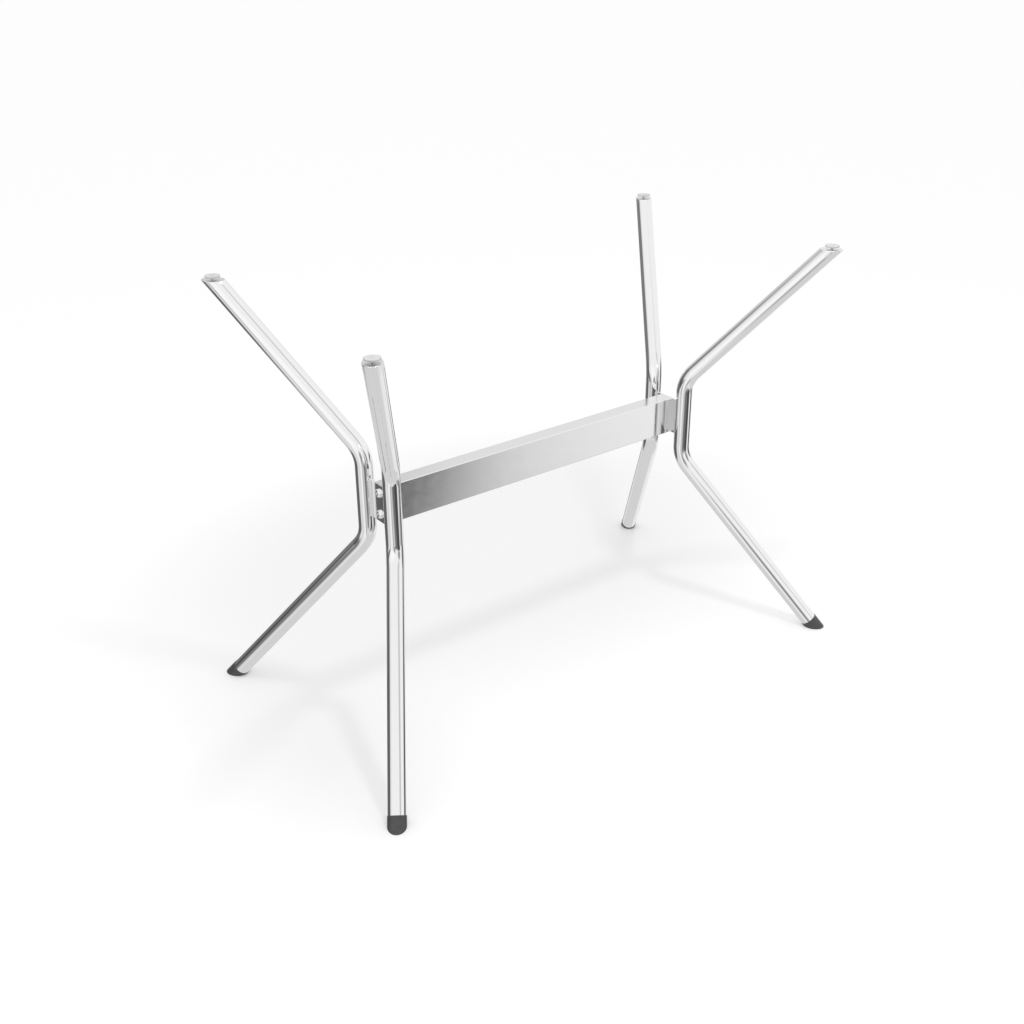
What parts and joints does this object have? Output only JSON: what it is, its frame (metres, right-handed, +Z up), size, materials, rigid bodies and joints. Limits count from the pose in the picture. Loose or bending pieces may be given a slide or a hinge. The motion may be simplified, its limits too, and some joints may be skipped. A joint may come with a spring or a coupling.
{
  "type": "dining table base",
  "caption": "Free-standing dining table base: bent round chrome legs in pairs, joined by a flat beam on edge, with dark foot plugs and small round pads that carry the top.",
  "frame": {"origin": "on the floor, below the middle of the beam", "axes": "+X along the beam, +Z up, +Y across the table towards its back legs"},
  "size_m": [0.9416, 0.549, 0.71],
  "materials": {
    "tube_chrome": "polished chrome plating on the bent tubes",
    "plug_chrome": "polished bright end plugs",
    "pad_plastic": "light grey moulded plastic, slightly frosted",
    "stud_metal": "dark plain steel",
    "foot_plastic": "dark grey moulded plastic, satin",
    "beam_metal": "polished flat section, softer than the tubes",
    "plate_metal": "polished plate",
    "weld_metal": "plated over fine weld ripples",
    "insert_metal": "plain steel",
    "bolt_metal": "bright plated steel"
  },
  "bodies": {
    "root": {"left_back_leg_tube": "tube_chrome", "left_back_top_plug": "plug_chrome", "left_back_foot_plug": "foot_plastic", "left_back_pad_stud": "stud_metal", "left_back_pad": "pad_plastic", "left_front_leg_tube": "tube_chrome", "left_front_top_plug": "plug_chrome", "left_front_foot_plug": "foot_plastic", "left_front_pad_stud": "stud_metal", "left_front_pad": "pad_plastic", "right_back_leg_tube": "tube_chrome", "right_back_top_plug": "plug_chrome", "right_back_foot_plug": "foot_plastic", "right_back_pad_stud": "stud_metal", "right_back_pad": "pad_plastic", "right_front_leg_tube": "tube_chrome", "right_front_top_plug": "plug_chrome", "right_front_foot_plug": "foot_plastic", "right_front_pad_stud": "stud_metal", "right_front_pad": "pad_plastic", "beam": "beam_metal", "left_beam_insert": "insert_metal", "left_end_plate": "plate_metal", "left_lower_washer": "bolt_metal", "left_lower_bolt": "bolt_metal", "left_upper_washer": "bolt_metal", "left_upper_bolt": "bolt_metal", "left_back_outer_weld": "weld_metal", "left_back_inner_weld": "weld_metal", "left_front_outer_weld": "weld_metal", "left_front_inner_weld": "weld_metal", "right_beam_insert": "insert_metal", "right_end_plate": "plate_metal", "right_lower_washer": "bolt_metal", "right_lower_bolt": "bolt_metal", "right_upper_washer": "bolt_metal", "right_upper_bolt": "bolt_metal", "right_back_outer_weld": "weld_metal", "right_back_inner_weld": "weld_metal", "right_front_outer_weld": "weld_metal", "right_front_inner_weld": "weld_metal"}
  },
  "joints": []
}
